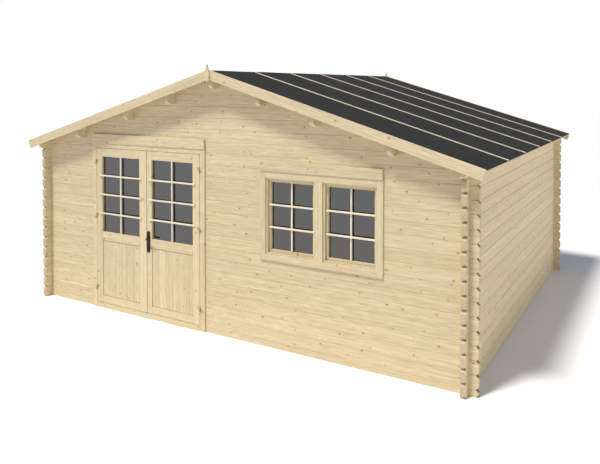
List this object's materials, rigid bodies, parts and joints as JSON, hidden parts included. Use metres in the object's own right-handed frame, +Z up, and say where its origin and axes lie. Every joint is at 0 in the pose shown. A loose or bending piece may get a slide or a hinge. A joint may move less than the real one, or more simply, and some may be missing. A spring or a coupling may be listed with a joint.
{
  "type": "log-built garden shed",
  "caption": "Gable-fronted timber garden shed of crossed logs with a felted roof on purlins, a glazed double door that opens outwards and a fixed double window.",
  "frame": {"origin": "on the ground, under the middle of the roof's plan", "axes": "+X across the front to the right of the doors, +Y from the front to the back, +Z up"},
  "size_m": [5.227, 4.3612, 2.6245],
  "materials": {
    "log_timber": "planed untreated spruce, matt",
    "roof_timber": "planed untreated spruce, matt",
    "joinery_timber": "planed untreated spruce, matt",
    "roofing_felt": "mineral-faced bitumen felt, matt",
    "pane": "grey sheet glass",
    "hinge_brass": "brassed, satin",
    "handle_black": "black, satin"
  },
  "bodies": {
    "cabin": {"left_wall": "log_timber", "right_wall": "log_timber", "back_wall": "log_timber", "back_gable": "log_timber", "front_wall_left": "log_timber", "front_wall_right": "log_timber", "front_gable": "log_timber", "ridge_purlin": "roof_timber", "left_purlins": "roof_timber", "right_purlins": "roof_timber", "left_roof_boards": "roof_timber", "right_roof_boards": "roof_timber", "left_felt": "roofing_felt", "right_felt": "roofing_felt", "left_battens": "roof_timber", "right_battens": "roof_timber", "front_left_bargeboard": "roof_timber", "front_right_bargeboard": "roof_timber", "back_left_bargeboard": "roof_timber", "back_right_bargeboard": "roof_timber", "front_finial": "roof_timber", "back_finial": "roof_timber", "left_door_jamb": "joinery_timber", "right_door_jamb": "joinery_timber", "door_head": "joinery_timber", "door_threshold": "joinery_timber", "door_trims": "joinery_timber", "door_header_board": "joinery_timber", "left_frame_hinges": "hinge_brass", "right_frame_hinges": "hinge_brass", "window_frame": "joinery_timber", "window_trims": "joinery_timber", "window_header_board": "joinery_timber", "window_sashes": "joinery_timber", "window_glass": "pane"},
    "left_door": {"left_leaf_frame": "joinery_timber", "left_leaf_panel": "joinery_timber", "left_leaf_glass": "pane", "left_leaf_hinges": "hinge_brass"},
    "right_door": {"right_leaf_frame": "joinery_timber", "right_leaf_panel": "joinery_timber", "right_leaf_glass": "pane", "right_leaf_hinges": "hinge_brass", "handle_plates": "handle_black"},
    "handle": {"handle_levers": "handle_black"}
  },
  "joints": [
    {"name": "left_door_hinge", "type": "hinge", "parent": "cabin", "child": "left_door", "pos_m": [-1.6375, -2.043, 0], "axis": [0, 0, -1], "range_deg": [0, 110]},
    {"name": "right_door_hinge", "type": "hinge", "parent": "cabin", "child": "right_door", "pos_m": [-0.2065, -2.043, 0], "axis": [0, 0, 1], "range_deg": [0, 110]},
    {"name": "handle_turn", "type": "hinge", "parent": "right_door", "child": "handle", "pos_m": [-0.8805, -2.036, 0.841], "axis": [0, 1, 0], "range_deg": [0, 40], "stiffness_Nm_per_rad": 2.5, "springref_deg": -17.19}
  ]
}
